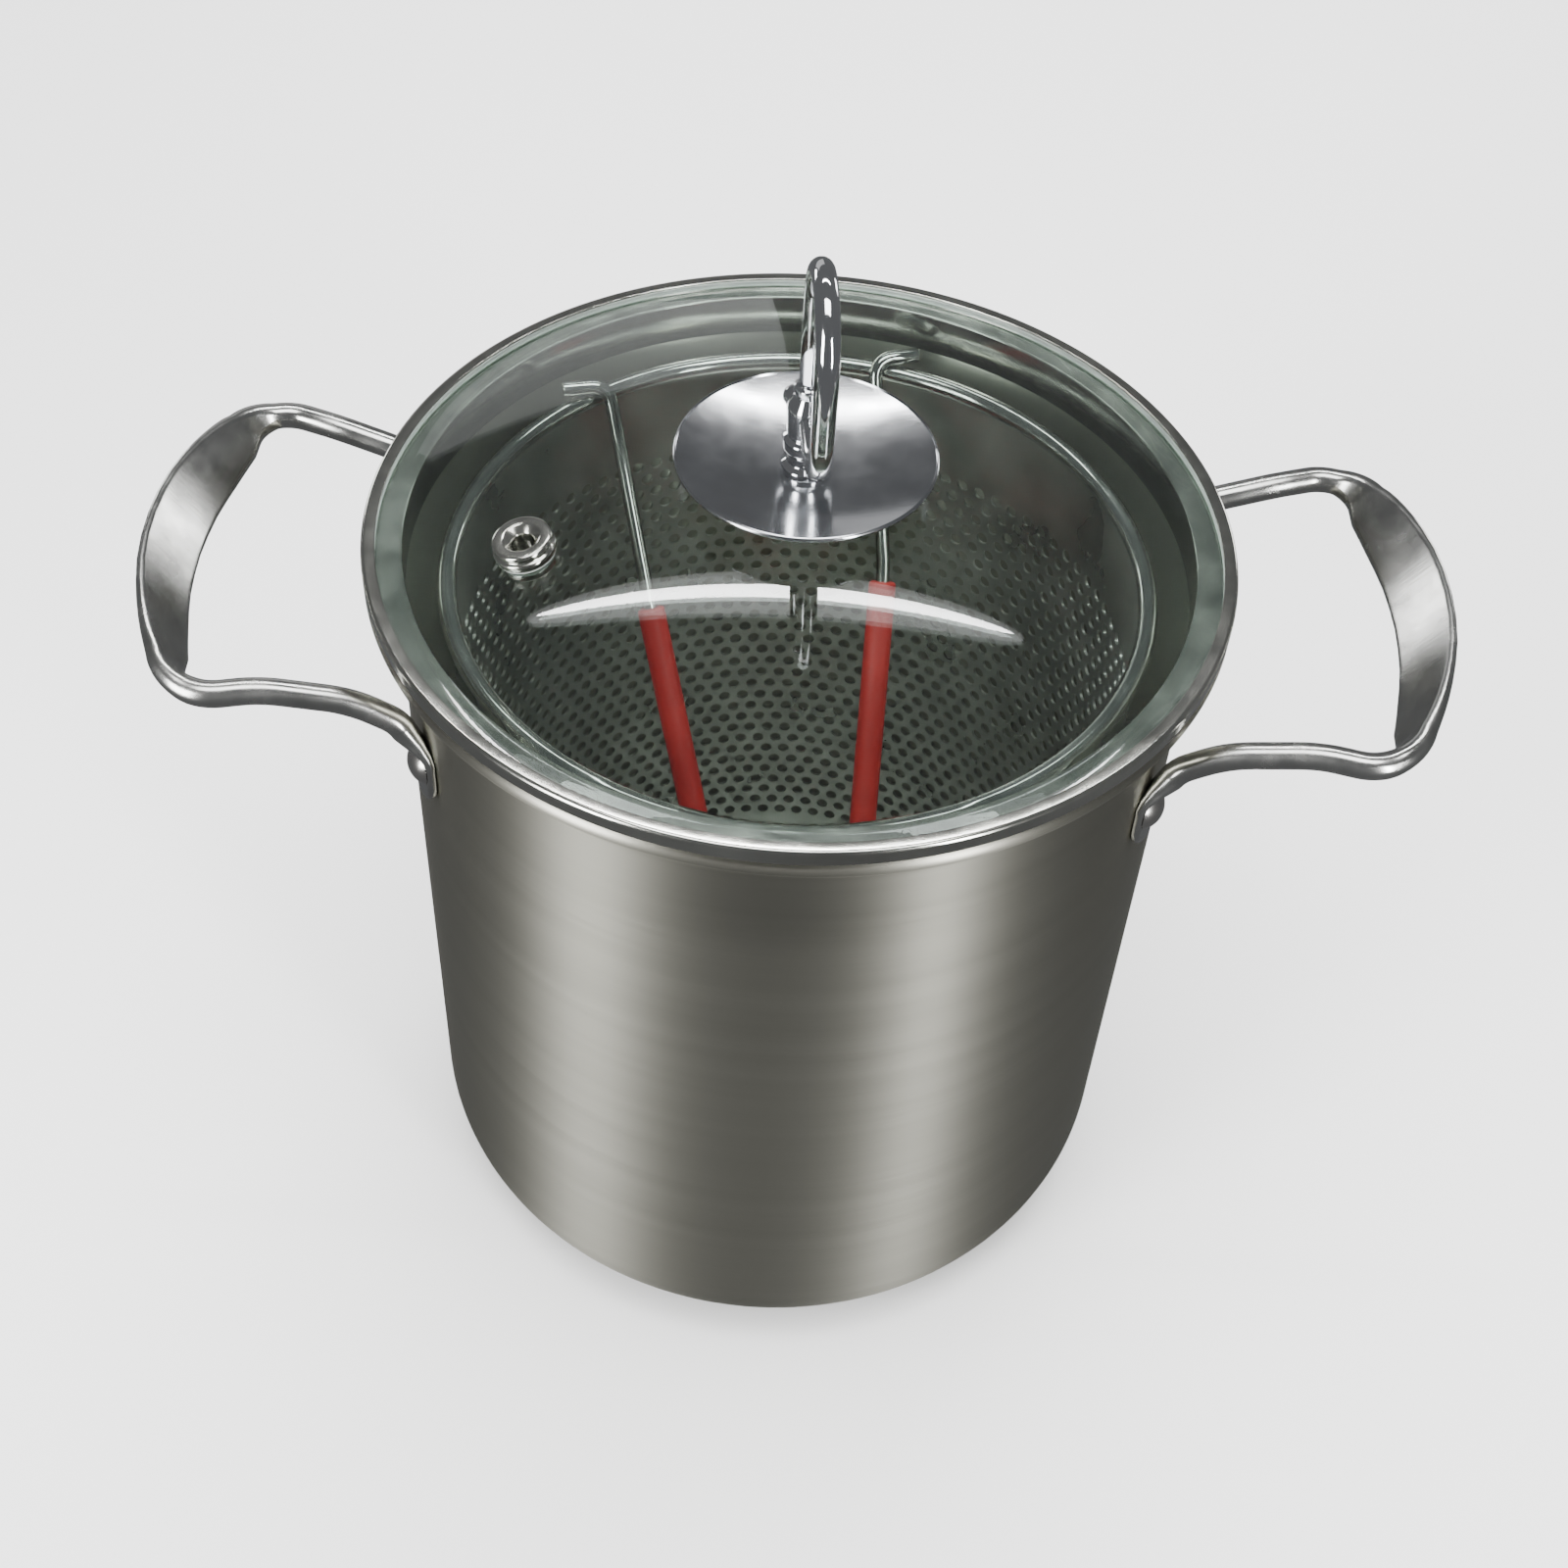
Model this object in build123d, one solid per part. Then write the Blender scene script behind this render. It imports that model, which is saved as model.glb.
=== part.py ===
"""Stove-top deep fryer: a tall steel pot, a perforated lift-out basket with its wire handle, and a glass lid.

Units are millimetres, +Z is up, and the origin is on the surface that the pot stands on, on its axis.
The two side handles point along -X and +X. Every separate piece is its own solid in its own file.
"""
from build123d import *
from math import asin, cos, hypot, radians, sin, sqrt
import os

# ---- driving dimensions ------------------------------------------------------------------------
FIT_GAP = 0.3                    # free gap between pieces that lift apart
SEAT_GAP = 0.02                  # gap between curved faces that are clamped or welded together

# Pot
POT_R = 101.5                    # outer radius of the straight wall
POT_WALL = 1.0
POT_CORNER_R = 24.0              # outer radius of the bottom corner
POT_FLARE_Z = 212.0              # height where the mouth starts to flare
BEAD_R, BEAD_MINOR, BEAD_Z = 106.6, 2.4, 223.7
BASE_R, BASE_CAP_T, BASE_CORE_T = 73.0, 0.6, 3.0

# Side handles: bent from round rod, with a flattened grip and flattened feet
ROD_R = 3.35
FOOT_Y = 48.0                    # distance of each foot from the XZ plane
FOOT_T, FOOT_W, FOOT_Z0, FOOT_Z1 = 2.4, 12.5, 176.0, 198.0
RIVET_Z, RIVET_SHANK_R, RIVET_HEAD_R, RIVET_HEAD_H = 187.0, 2.4, 5.6, 2.8
RIVET_TAIL_R, RIVET_TAIL_H = 4.6, 0.9

# Basket
BASKET_R, BASKET_WALL = 88.5, 0.8
BASKET_Z0 = 5.0                  # underside of the basket floor
BASKET_WALL_Z0 = 12.0            # lower edge of the wall, lapped over the floor's upturned edge
BASKET_FLANGE_Z = 19.0           # top of the floor's upturned edge
FLOOR_CORNER_R = 10.0
RING_R, RING_MINOR, RING_Z = 88.8, 2.5, 213.5
HOOK_HOLE_R, HOOK_HOLE_Z = 2.6, 201.0

# Wire handle of the basket, unhooked and stowed leaning in the basket
WIRE_R = 1.95
HANDLE_TURN = 14.8               # turn of the stowed handle about Z, degrees
ARM_HALF, HOOK_HALF, WAIST_HALF, END_HALF = 50.0, 37.5, 34.2, 8.5
HOOK_SHIFT, WAIST_SHIFT, END_SHIFT = 1.0, 2.8, -1.5    # sideways set of the bent wire's middle line
WAIST_S, END_S = 58.0, 249.5     # distances down the legs from the arms
ARM_DEPTH, ARM_Z = 77.2, 218.6   # distance of the arms from the pot's axis, and their height
ARM_BEND_R, END_BEND_R, WAIST_BEND_R = 5.0, 7.6, 60.0
SLEEVE_S, SLEEVE_R = 62.0, 3.9

# Lid
LID_R, LID_TOP_Z, LID_BOTTOM_Z = 109.0, 230.8, 226.4
LID_SHEET = 0.6
LIP_R = 105.5                    # inner radius of the lip over the glass
SKIRT_R, SKIRT_T, SKIRT_Z = 99.4, 0.8, 216.0
SEAL_T = 0.4
DOME_APEX_Z, DOME_EDGE_R, DOME_T = 246.5, 103.0, 3.0

# Steam vent
VENT_X, VENT_Y = -65.4, -26.0
VENT_HOLE_R, VENT_BARREL_R, VENT_FLANGE_R = 2.75, 4.4, 7.75
VENT_GASKET_T, VENT_TOP_H = 0.6, 5.0
VENT_NUT_R, VENT_NUT_H = 6.5, 2.0

# Knob
DISC_R, DISC_RIM_Z, DISC_LOW_Z, DISC_T = 32.4, 253.4, 248.7, 1.0
STEM_R, STEM_TOP_Z = 5.3, 274.0
LOOP_ROD_R, LOOP_BEND_R, LOOP_TOP_Z, LOOP_LOW_Z = 2.85, 15.0, 312.6, 264.5
LOOP_TURN = 6.5                  # turn of the loop about Z, degrees
LOOP_END = (-4.5, 6.9, 266.3)    # the rod's low end, just past the stem
LOOP_KINK = (0.3, -2.5, 265.2)   # where the rod turns aside inside the stem
SCREW_R, SCREW_HEAD_R, SCREW_HEAD_H = 2.4, 4.6, 2.6
KNOB_HOLE_R = 4.0                # hole in the glass for the knob


# ---- helpers -----------------------------------------------------------------------------------
def lathe(*outlines):
    """Solid of revolution about Z of closed outlines in the XZ plane."""
    face = make_face(outlines[0])
    for outline in outlines[1:]:
        face += make_face(outline)
    return revolve(face, Axis.Z, 360)


def xz(r, z):
    return Vector(r, 0, z)


def closed(*points):
    """Closed straight-sided outline in the XZ plane from (r, z) pairs."""
    return Polyline(*[xz(r, z) for r, z in points], close=True)


def tube_ring(radius, minor, z):
    return Pos(0, 0, z) * Torus(radius, minor)


def along(path, radius, bore=0.0):
    """Round rod, or tube with a bore, that follows a path."""
    start = Plane(origin=path @ 0, z_dir=path % 0)
    section = start * Circle(radius)
    if bore:
        section -= start * Circle(bore)
    return sweep(section, path=path)


def save(name, shape):
    export_step(shape, f"parts/{name}.step")


# ---- pot ---------------------------------------------------------------------------------------
POT_Z0 = BASE_CAP_T + BASE_CORE_T
FLARE_TOP_Z = BEAD_Z - 1.6
FLARE_OUT = BEAD_R - BEAD_MINOR + 0.7 - POT_R


def flare_points(offset):
    """Start, middle and end of the mouth's flare, for a wall face set in by an offset."""
    rise = FLARE_TOP_Z - POT_FLARE_Z
    bend = (rise ** 2 + FLARE_OUT ** 2) / (2 * FLARE_OUT)
    half = asin(rise / bend) / 2
    r = POT_R - offset
    mid = xz(r + bend * (1 - cos(half)), POT_FLARE_Z + bend * sin(half))
    return xz(r, POT_FLARE_Z), mid, xz(r + FLARE_OUT, FLARE_TOP_Z)


def make_pot_shell():
    inner_corner = POT_CORNER_R - POT_WALL
    turn = cos(radians(45))
    centre_r, centre_z = POT_R - POT_CORNER_R, POT_Z0 + POT_CORNER_R

    def corner(radius):
        return ThreePointArc(xz(centre_r, centre_z - radius),
                             xz(centre_r + radius * turn, centre_z - radius * turn),
                             xz(centre_r + radius, centre_z))
    outer, inner = corner(POT_CORNER_R), corner(inner_corner)
    outer_flare, inner_flare = ThreePointArc(*flare_points(0)), ThreePointArc(*flare_points(POT_WALL))
    outline = Curve() + [
        Line(xz(0, POT_Z0), outer @ 0), outer, Line(outer @ 1, outer_flare @ 0), outer_flare,
        Line(outer_flare @ 1, inner_flare @ 1), inner_flare, Line(inner_flare @ 0, inner @ 1), inner,
        Line(inner @ 0, xz(0, POT_Z0 + POT_WALL)), Line(xz(0, POT_Z0 + POT_WALL), xz(0, POT_Z0))]
    shell = lathe(outline.edges())
    shell += tube_ring(BEAD_R, BEAD_MINOR, BEAD_Z)
    for side in (-1, 1):
        for end in (-1, 1):
            shell -= foot_plane(side, end) * Cylinder(RIVET_SHANK_R, 12)
    return shell


def make_base_core():
    return Pos(0, 0, BASE_CAP_T + BASE_CORE_T / 2) * Cylinder(BASE_R, BASE_CORE_T)


def make_base_cap():
    rim = BASE_R + BASE_CAP_T
    cap = Pos(0, 0, POT_Z0 / 2) * Cylinder(rim, POT_Z0)
    cap = fillet(cap.edges().group_by(Axis.Z)[0], 2.0)
    return cap - make_base_core()


# ---- side handles ------------------------------------------------------------------------------
def foot_plane(side, end):
    """Plane on the pot's outer wall at a rivet, facing outwards. side is -1 or 1, end is -1 or 1."""
    x = side * sqrt(POT_R ** 2 - FOOT_Y ** 2)
    y = end * FOOT_Y
    return Plane(origin=(x, y, RIVET_Z), x_dir=(-y, x, 0), z_dir=(x, y, 0))


def make_foot(end):
    """Flattened foot of the rod, curved to the pot's wall."""
    height, mid_z = FOOT_Z1 - FOOT_Z0, (FOOT_Z0 + FOOT_Z1) / 2
    plate = extrude(SlotOverall(height, FOOT_W, rotation=90), 12, both=True)
    plate = foot_plane(1, end) * Pos(0, mid_z - RIVET_Z, 0) * plate
    inner = Pos(0, 0, mid_z) * Cylinder(POT_R + SEAT_GAP, height * 2)
    outer = Pos(0, 0, mid_z) * Cylinder(POT_R + FOOT_T, height * 2)
    foot = plate & (outer - inner)
    return foot - foot_plane(1, end) * Cylinder(RIVET_SHANK_R, 12)


def make_leg(end):
    """Rod from a foot, up and outwards, to the corner where the grip starts."""
    path = FilletPolyline((94.4, end * 48.0, 193.6), (95.6, end * 47.6, 199.5), (107, end * 47.6, 206.2),
                          (128, end * 50.8, 211.4), (149.2, end * 57.0, 212.4), (152.4, end * 40.8, 212.9),
                          radius=[10, 40, 45, 12])
    return along(path, ROD_R)


# Grip sections: distance from the middle, centre x, centre z, width, thickness
GRIP_TILT = 54.0                 # angle of the grip's width above the horizontal, degrees
GRIP_SECTIONS = ((41.0, 152.4, 212.9, 10.5, 4.8), (37.0, 153.8, 213.2, 14.4, 3.8), (30.0, 155.8, 213.5, 16.2, 3.0),
                 (16.0, 158.7, 214.1, 17.5, 2.5), (0.0, 159.8, 214.3, 17.8, 2.4))


def grip_section(y, x, z, width, thickness):
    """Flattened section of the grip, at right angles to its bow."""
    mid_x = GRIP_SECTIONS[-1][1]
    slope = -2 * (mid_x - GRIP_SECTIONS[0][1]) * y / GRIP_SECTIONS[0][0] ** 2
    run = Vector(slope, 1, 0).normalized()
    across = Vector(cos(radians(GRIP_TILT)), -slope * cos(radians(GRIP_TILT)), sin(radians(GRIP_TILT)))
    return Plane(origin=(x, y, z), x_dir=across, z_dir=run) * SlotOverall(width, thickness)


def make_grip():
    one_side = [grip_section(y, *rest) for y, *rest in GRIP_SECTIONS]
    other_side = [grip_section(-y, *rest) for y, *rest in reversed(GRIP_SECTIONS[:-1])]
    return loft(one_side + other_side)


def make_right_handle():
    handle = make_grip()
    for end in (-1, 1):
        handle += make_leg(end)
        handle += make_foot(end)
    wall = Pos(0, 0, RIVET_Z) * Cylinder(POT_R + SEAT_GAP, 60)
    handle -= wall
    for end in (-1, 1):
        handle -= foot_plane(1, end) * Cylinder(RIVET_SHANK_R, 12)
    return handle


def make_rivets(side):
    """The two rivets of one handle, as separate solids."""
    rivets = []
    head_sphere = (RIVET_HEAD_R ** 2 + RIVET_HEAD_H ** 2) / (2 * RIVET_HEAD_H)
    for end in (-1, 1):
        place = foot_plane(side, end)
        shank = Pos(0, 0, FOOT_T / 2) * Cylinder(RIVET_SHANK_R, FOOT_T + 2 * POT_WALL + 1)
        dome = Pos(0, 0, FOOT_T + RIVET_HEAD_H - head_sphere) * Sphere(head_sphere)
        dome &= Pos(0, 0, FOOT_T + RIVET_HEAD_H / 2) * Cylinder(RIVET_HEAD_R, RIVET_HEAD_H)
        tail = Pos(0, 0, -POT_WALL - 0.12 - RIVET_TAIL_H / 2) * Cylinder(RIVET_TAIL_R, RIVET_TAIL_H)
        tail = fillet(tail.edges().group_by(Axis.Z)[0], 0.4)
        rivets.append(place * (shank + dome + tail))
    return Compound(children=rivets)


# ---- basket ------------------------------------------------------------------------------------
TURN = radians(HANDLE_TURN)
ACROSS = Vector(cos(TURN), sin(TURN), 0)           # direction across the stowed wire handle
BACK = Vector(-sin(TURN), cos(TURN), 0)            # direction from the axis to the handle's arms


def make_basket_wall():
    inner = BASKET_R - BASKET_WALL
    wall = lathe(closed((inner, BASKET_WALL_Z0), (BASKET_R, BASKET_WALL_Z0), (BASKET_R, RING_Z), (inner, RING_Z)))
    wall -= tube_ring(RING_R, RING_MINOR + SEAT_GAP, RING_Z)
    for side in (-1, 1):
        centre = -BACK * BASKET_R + ACROSS * (side * HOOK_HALF) + Vector(0, 0, HOOK_HOLE_Z)
        wall -= Plane(origin=centre, z_dir=BACK) * Cylinder(HOOK_HOLE_R, 60)
    return wall


def make_basket_floor():
    outer = BASKET_R - BASKET_WALL - SEAT_GAP
    pan = Pos(0, 0, (BASKET_Z0 + BASKET_FLANGE_Z) / 2) * Cylinder(outer, BASKET_FLANGE_Z - BASKET_Z0)
    pan = fillet(pan.edges().group_by(Axis.Z)[0], FLOOR_CORNER_R)
    height = BASKET_FLANGE_Z - BASKET_Z0
    hollow = Pos(0, 0, (BASKET_Z0 + BASKET_FLANGE_Z) / 2 + BASKET_WALL) * Cylinder(outer - BASKET_WALL, height)
    hollow = fillet(hollow.edges().group_by(Axis.Z)[0], FLOOR_CORNER_R - BASKET_WALL)
    return pan - hollow


# ---- wire handle of the basket -----------------------------------------------------------------
END_Z = BASKET_Z0 + BASKET_WALL + FIT_GAP + SLEEVE_R
LEAN = asin((ARM_Z - END_Z) / END_S)
DOWN = BACK * -cos(LEAN) + Vector(0, 0, -sin(LEAN))


def on_handle(across, down):
    """Point on the plane of the leaning wire handle."""
    return BACK * ARM_DEPTH + Vector(0, 0, ARM_Z) + ACROSS * across + DOWN * down


def make_handle_wire():
    half = [(ARM_HALF, HOOK_SHIFT, 0), (HOOK_HALF, HOOK_SHIFT, 0),
            (WAIST_HALF, WAIST_SHIFT, WAIST_S), (END_HALF, END_SHIFT, END_S)]
    points = [on_handle(shift - a, d) for a, shift, d in half]
    points += [on_handle(shift + a, d) for a, shift, d in reversed(half)]
    bends = [ARM_BEND_R, WAIST_BEND_R, END_BEND_R]
    return along(FilletPolyline(*points, radius=bends + bends[::-1]), WIRE_R)


def make_grip_sleeve():
    share = (SLEEVE_S - WAIST_S) / (END_S - WAIST_S)
    start = WAIST_HALF + (END_HALF - WAIST_HALF) * share
    shift = WAIST_SHIFT + (END_SHIFT - WAIST_SHIFT) * share
    points = [on_handle(shift - start, SLEEVE_S), on_handle(END_SHIFT - END_HALF, END_S),
              on_handle(END_SHIFT + END_HALF, END_S), on_handle(shift + start, SLEEVE_S)]
    return along(FilletPolyline(*points, radius=END_BEND_R), SLEEVE_R, WIRE_R + 0.05)


# ---- lid ---------------------------------------------------------------------------------------
CHANNEL_LOW, CHANNEL_HIGH = LID_BOTTOM_Z + LID_SHEET, LID_TOP_Z - LID_SHEET
CHANNEL_R = LID_R - LID_SHEET
GLASS_LOW, GLASS_HIGH = CHANNEL_LOW + SEAL_T, CHANNEL_HIGH - SEAL_T
GLASS_R = CHANNEL_R - SEAL_T
DOME_RADIUS = (DOME_EDGE_R ** 2 + (DOME_APEX_Z - GLASS_HIGH) ** 2) / (2 * (DOME_APEX_Z - GLASS_HIGH))
DOME_CENTRE_Z = DOME_APEX_Z - DOME_RADIUS


def dome_z(r, depth=0.0):
    """Height of the glass at a radius, on its top face or at a depth below it."""
    return DOME_CENTRE_Z + sqrt((DOME_RADIUS - depth) ** 2 - r ** 2)


def make_lid_ring():
    skirt_in = SKIRT_R - SKIRT_T
    ring = lathe(closed((LIP_R, CHANNEL_HIGH), (CHANNEL_R, CHANNEL_HIGH), (CHANNEL_R, CHANNEL_LOW),
                        (skirt_in, CHANNEL_LOW), (skirt_in, SKIRT_Z), (SKIRT_R, SKIRT_Z),
                        (SKIRT_R, LID_BOTTOM_Z), (LID_R, LID_BOTTOM_Z), (LID_R, LID_TOP_Z), (LIP_R, LID_TOP_Z)))
    outer = [e for e in ring.edges().filter_by(GeomType.CIRCLE) if abs(e.radius - LID_R) < 0.01]
    return fillet(outer, 0.5)


def make_rim_seal():
    inner = LIP_R + 0.1
    return lathe(closed((inner, CHANNEL_LOW), (CHANNEL_R, CHANNEL_LOW), (CHANNEL_R, CHANNEL_HIGH),
                        (inner, CHANNEL_HIGH), (inner, GLASS_HIGH), (GLASS_R, GLASS_HIGH),
                        (GLASS_R, GLASS_LOW), (inner, GLASS_LOW)))


def vent_plane():
    """Plane on the dome's top face at the steam vent, facing out along the dome's normal."""
    r = hypot(VENT_X, VENT_Y)
    point = Vector(VENT_X, VENT_Y, dome_z(r))
    return Plane(origin=point, z_dir=point - Vector(0, 0, DOME_CENTRE_Z))


def make_lid_glass():
    low_r = sqrt((DOME_RADIUS - DOME_T) ** 2 - (GLASS_LOW - DOME_CENTRE_Z) ** 2)
    mid_r = DOME_EDGE_R / 2
    top = ThreePointArc(xz(0, DOME_APEX_Z), xz(mid_r, dome_z(mid_r)), xz(DOME_EDGE_R, GLASS_HIGH))
    under = ThreePointArc(xz(low_r, GLASS_LOW), xz(mid_r, dome_z(mid_r, DOME_T)), xz(0, DOME_APEX_Z - DOME_T))
    outline = Curve() + [top, Line(top @ 1, xz(GLASS_R, GLASS_HIGH)),
                         Line(xz(GLASS_R, GLASS_HIGH), xz(GLASS_R, GLASS_LOW)),
                         Line(xz(GLASS_R, GLASS_LOW), under @ 0), under, Line(under @ 1, top @ 0)]
    glass = lathe(outline.edges())
    glass -= Pos(0, 0, DOME_APEX_Z) * Cylinder(KNOB_HOLE_R, 20)
    return glass - vent_plane() * Cylinder(VENT_BARREL_R + 0.2, 20)


def make_vent_grommet():
    base = VENT_GASKET_T + SEAT_GAP
    barrel_z = -DOME_T - VENT_NUT_H - 0.4
    groove = 0.9
    body = lathe(closed((VENT_HOLE_R, barrel_z), (VENT_BARREL_R, barrel_z), (VENT_BARREL_R, base),
                        (VENT_FLANGE_R, base), (VENT_FLANGE_R, base + 1.6), (VENT_FLANGE_R - 1.0, base + 2.4),
                        (VENT_FLANGE_R - 1.0, base + 2.4 + groove), (VENT_FLANGE_R - 0.6, base + 3.4),
                        (VENT_FLANGE_R - 1.2, VENT_TOP_H), (VENT_HOLE_R + 1.0, VENT_TOP_H),
                        (VENT_HOLE_R, VENT_TOP_H - 1.0)))
    return vent_plane() * body


def make_vent_gasket():
    low, high = SEAT_GAP / 2, VENT_GASKET_T
    return vent_plane() * lathe(closed((VENT_BARREL_R + 0.05, low), (VENT_FLANGE_R - 0.4, low),
                                       (VENT_FLANGE_R - 0.4, high), (VENT_BARREL_R + 0.05, high)))


def make_vent_nut():
    """Round nut that holds the vent from under the glass."""
    high = -DOME_T - 0.1
    nut = lathe(closed((VENT_BARREL_R + 0.02, high - VENT_NUT_H), (VENT_NUT_R - 0.5, high - VENT_NUT_H),
                       (VENT_NUT_R, high - VENT_NUT_H + 0.5), (VENT_NUT_R, high),
                       (VENT_BARREL_R + 0.02, high)))
    return vent_plane() * nut


# ---- knob --------------------------------------------------------------------------------------
DISC_RISE = DISC_RIM_Z - DISC_LOW_Z
DISC_SPHERE = (DISC_R ** 2 + DISC_RISE ** 2) / (2 * DISC_RISE)
SPIGOT_R = 3.9
SPIGOT_Z0 = DOME_APEX_Z + 0.6


def make_knob_disc():
    """Shallow saucer with its rim upwards."""
    centre_z = DISC_LOW_Z + DISC_SPHERE
    sheet = Pos(0, 0, centre_z) * Sphere(DISC_SPHERE + DISC_T) - Pos(0, 0, centre_z) * Sphere(DISC_SPHERE)
    disc = sheet & (Pos(0, 0, DISC_LOW_Z) * Cylinder(DISC_R, 4 * DISC_RISE))
    disc += tube_ring(DISC_R - 0.75, 0.75, DISC_RIM_Z - 0.55)
    return disc - Pos(0, 0, DISC_LOW_Z) * Cylinder(SPIGOT_R + SEAT_GAP, 10)


def make_disc_gasket():
    """Soft washer between the glass and the knob's disc."""
    low, high = DOME_APEX_Z + SEAT_GAP, DISC_LOW_Z - DISC_T - SEAT_GAP
    return lathe(closed((SPIGOT_R + 0.1, low), (9.0, low), (9.0, high), (SPIGOT_R + 0.1, high)))


def make_loop_rod():
    """Loop of round rod that rises from the stem, comes down in front and curls back past the stem."""
    far = 2 * LOOP_BEND_R
    turn = Rot(0, 0, LOOP_TURN - 90)
    corners = [(turn * Pos(*xz(r, z))).position for r, z in
               ((0, STEM_TOP_Z), (0, LOOP_TOP_Z), (far, LOOP_TOP_Z), (far, LOOP_LOW_Z))]
    corners += [Vector(*LOOP_KINK), Vector(*LOOP_END)]
    return along(FilletPolyline(*corners, radius=[LOOP_BEND_R - 0.02] * 3 + [5]), LOOP_ROD_R)


def make_knob_stem():
    """Turned stem with three rings, bored for the screw and notched for the low end of the loop."""
    waist, seat = STEM_R - 0.5, DISC_LOW_Z + 0.2
    levels = ((STEM_R + 0.9, seat), (STEM_R + 0.9, 250.6), (waist, 251.6), (waist, 254.4), (STEM_R + 0.7, 256.0),
              (STEM_R + 0.7, 258.4), (waist, 259.3), (STEM_R, 260.2), (STEM_R, 268.4), (3.4, 271.0),
              (3.9, 272.0), (3.9, 273.4), (3.2, STEM_TOP_Z))
    stem = lathe(closed((0, SPIGOT_Z0), (SPIGOT_R, SPIGOT_Z0), (SPIGOT_R, seat), *levels, (0, STEM_TOP_Z)))
    stem -= Pos(0, 0, SPIGOT_Z0) * Cylinder(SCREW_R + 0.05, 2 * 12.5)
    return stem - make_loop_rod()


SCREW_GASKET_Z = DOME_APEX_Z - DOME_T - 0.1        # top of the soft washer under the glass


def make_screw_gasket():
    high = SCREW_GASKET_Z
    return lathe(closed((SCREW_R + 0.1, high - 1.2), (7.0, high - 1.2), (7.0, high), (SCREW_R + 0.1, high)))


def make_knob_washer():
    high = SCREW_GASKET_Z - 1.2
    return lathe(closed((SCREW_R + 0.1, high - 1.0), (6.0, high - 1.0), (6.0, high), (SCREW_R + 0.1, high)))


def make_knob_screw():
    seat = SCREW_GASKET_Z - 2.2
    head = Pos(0, 0, seat - SCREW_HEAD_H / 2) * Cylinder(SCREW_HEAD_R, SCREW_HEAD_H)
    head = fillet(head.edges().group_by(Axis.Z)[0], 1.2)
    shank_top = SPIGOT_Z0 + 10
    shank = Pos(0, 0, (seat + shank_top) / 2) * Cylinder(SCREW_R, shank_top - seat)
    slot_low = seat - SCREW_HEAD_H
    for angle in (0, 90):
        head -= Pos(0, 0, slot_low) * Rot(0, 0, angle) * Box(5.0, 1.0, 2.4)
    return head + shank


# ---- output ------------------------------------------------------------------------------------
def build():
    os.makedirs("parts", exist_ok=True)
    save("pot_shell", make_pot_shell())
    save("base_core", make_base_core())
    save("base_cap", make_base_cap())
    right = make_right_handle()
    save("right_handle", right)
    save("left_handle", mirror(right, Plane.YZ))
    save("right_rivets", make_rivets(1))
    save("left_rivets", make_rivets(-1))
    save("basket_wall", make_basket_wall())
    save("basket_floor", make_basket_floor())
    save("basket_rim", tube_ring(RING_R, RING_MINOR, RING_Z))
    save("basket_handle_wire", make_handle_wire())
    save("grip_sleeve", make_grip_sleeve())
    save("lid_ring", make_lid_ring())
    save("rim_seal", make_rim_seal())
    save("lid_glass", make_lid_glass())
    save("vent_grommet", make_vent_grommet())
    save("vent_gasket", make_vent_gasket())
    save("vent_nut", make_vent_nut())
    save("knob_disc", make_knob_disc())
    save("disc_gasket", make_disc_gasket())
    save("knob_stem", make_knob_stem())
    save("knob_loop", make_loop_rod())
    save("screw_gasket", make_screw_gasket())
    save("knob_washer", make_knob_washer())
    save("knob_screw", make_knob_screw())


build()
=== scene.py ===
"""Looks of the stove-top deep fryer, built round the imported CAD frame. Lengths are in mm up to the mesh."""
from math import asin, atan2, ceil, copysign, cos, degrees, hypot, pi, radians, sin, sqrt, tan

import bmesh
import bpy
from mathutils import Matrix, Vector
from mathutils.geometry import delaunay_2d_cdt
from mathutils.kdtree import KDTree


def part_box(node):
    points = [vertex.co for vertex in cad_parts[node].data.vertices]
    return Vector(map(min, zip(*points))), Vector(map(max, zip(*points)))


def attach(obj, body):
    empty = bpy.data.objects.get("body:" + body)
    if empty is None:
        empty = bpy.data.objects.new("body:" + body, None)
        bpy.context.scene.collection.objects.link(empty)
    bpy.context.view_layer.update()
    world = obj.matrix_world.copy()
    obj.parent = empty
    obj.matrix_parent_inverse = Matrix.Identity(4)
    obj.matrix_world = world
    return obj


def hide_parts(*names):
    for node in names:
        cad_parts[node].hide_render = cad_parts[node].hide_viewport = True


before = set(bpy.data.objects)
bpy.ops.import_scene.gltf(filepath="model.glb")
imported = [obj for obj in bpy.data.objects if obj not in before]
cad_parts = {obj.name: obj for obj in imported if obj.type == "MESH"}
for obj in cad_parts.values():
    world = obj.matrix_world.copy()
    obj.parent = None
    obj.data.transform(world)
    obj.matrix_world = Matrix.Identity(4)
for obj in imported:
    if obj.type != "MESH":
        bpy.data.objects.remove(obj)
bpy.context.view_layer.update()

MM = 0.001
UP = Vector((0, 0, 1))


def node_box(node):
    """(low, high) of a CAD node in mm."""
    low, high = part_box(node)
    return low / MM, high / MM


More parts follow.
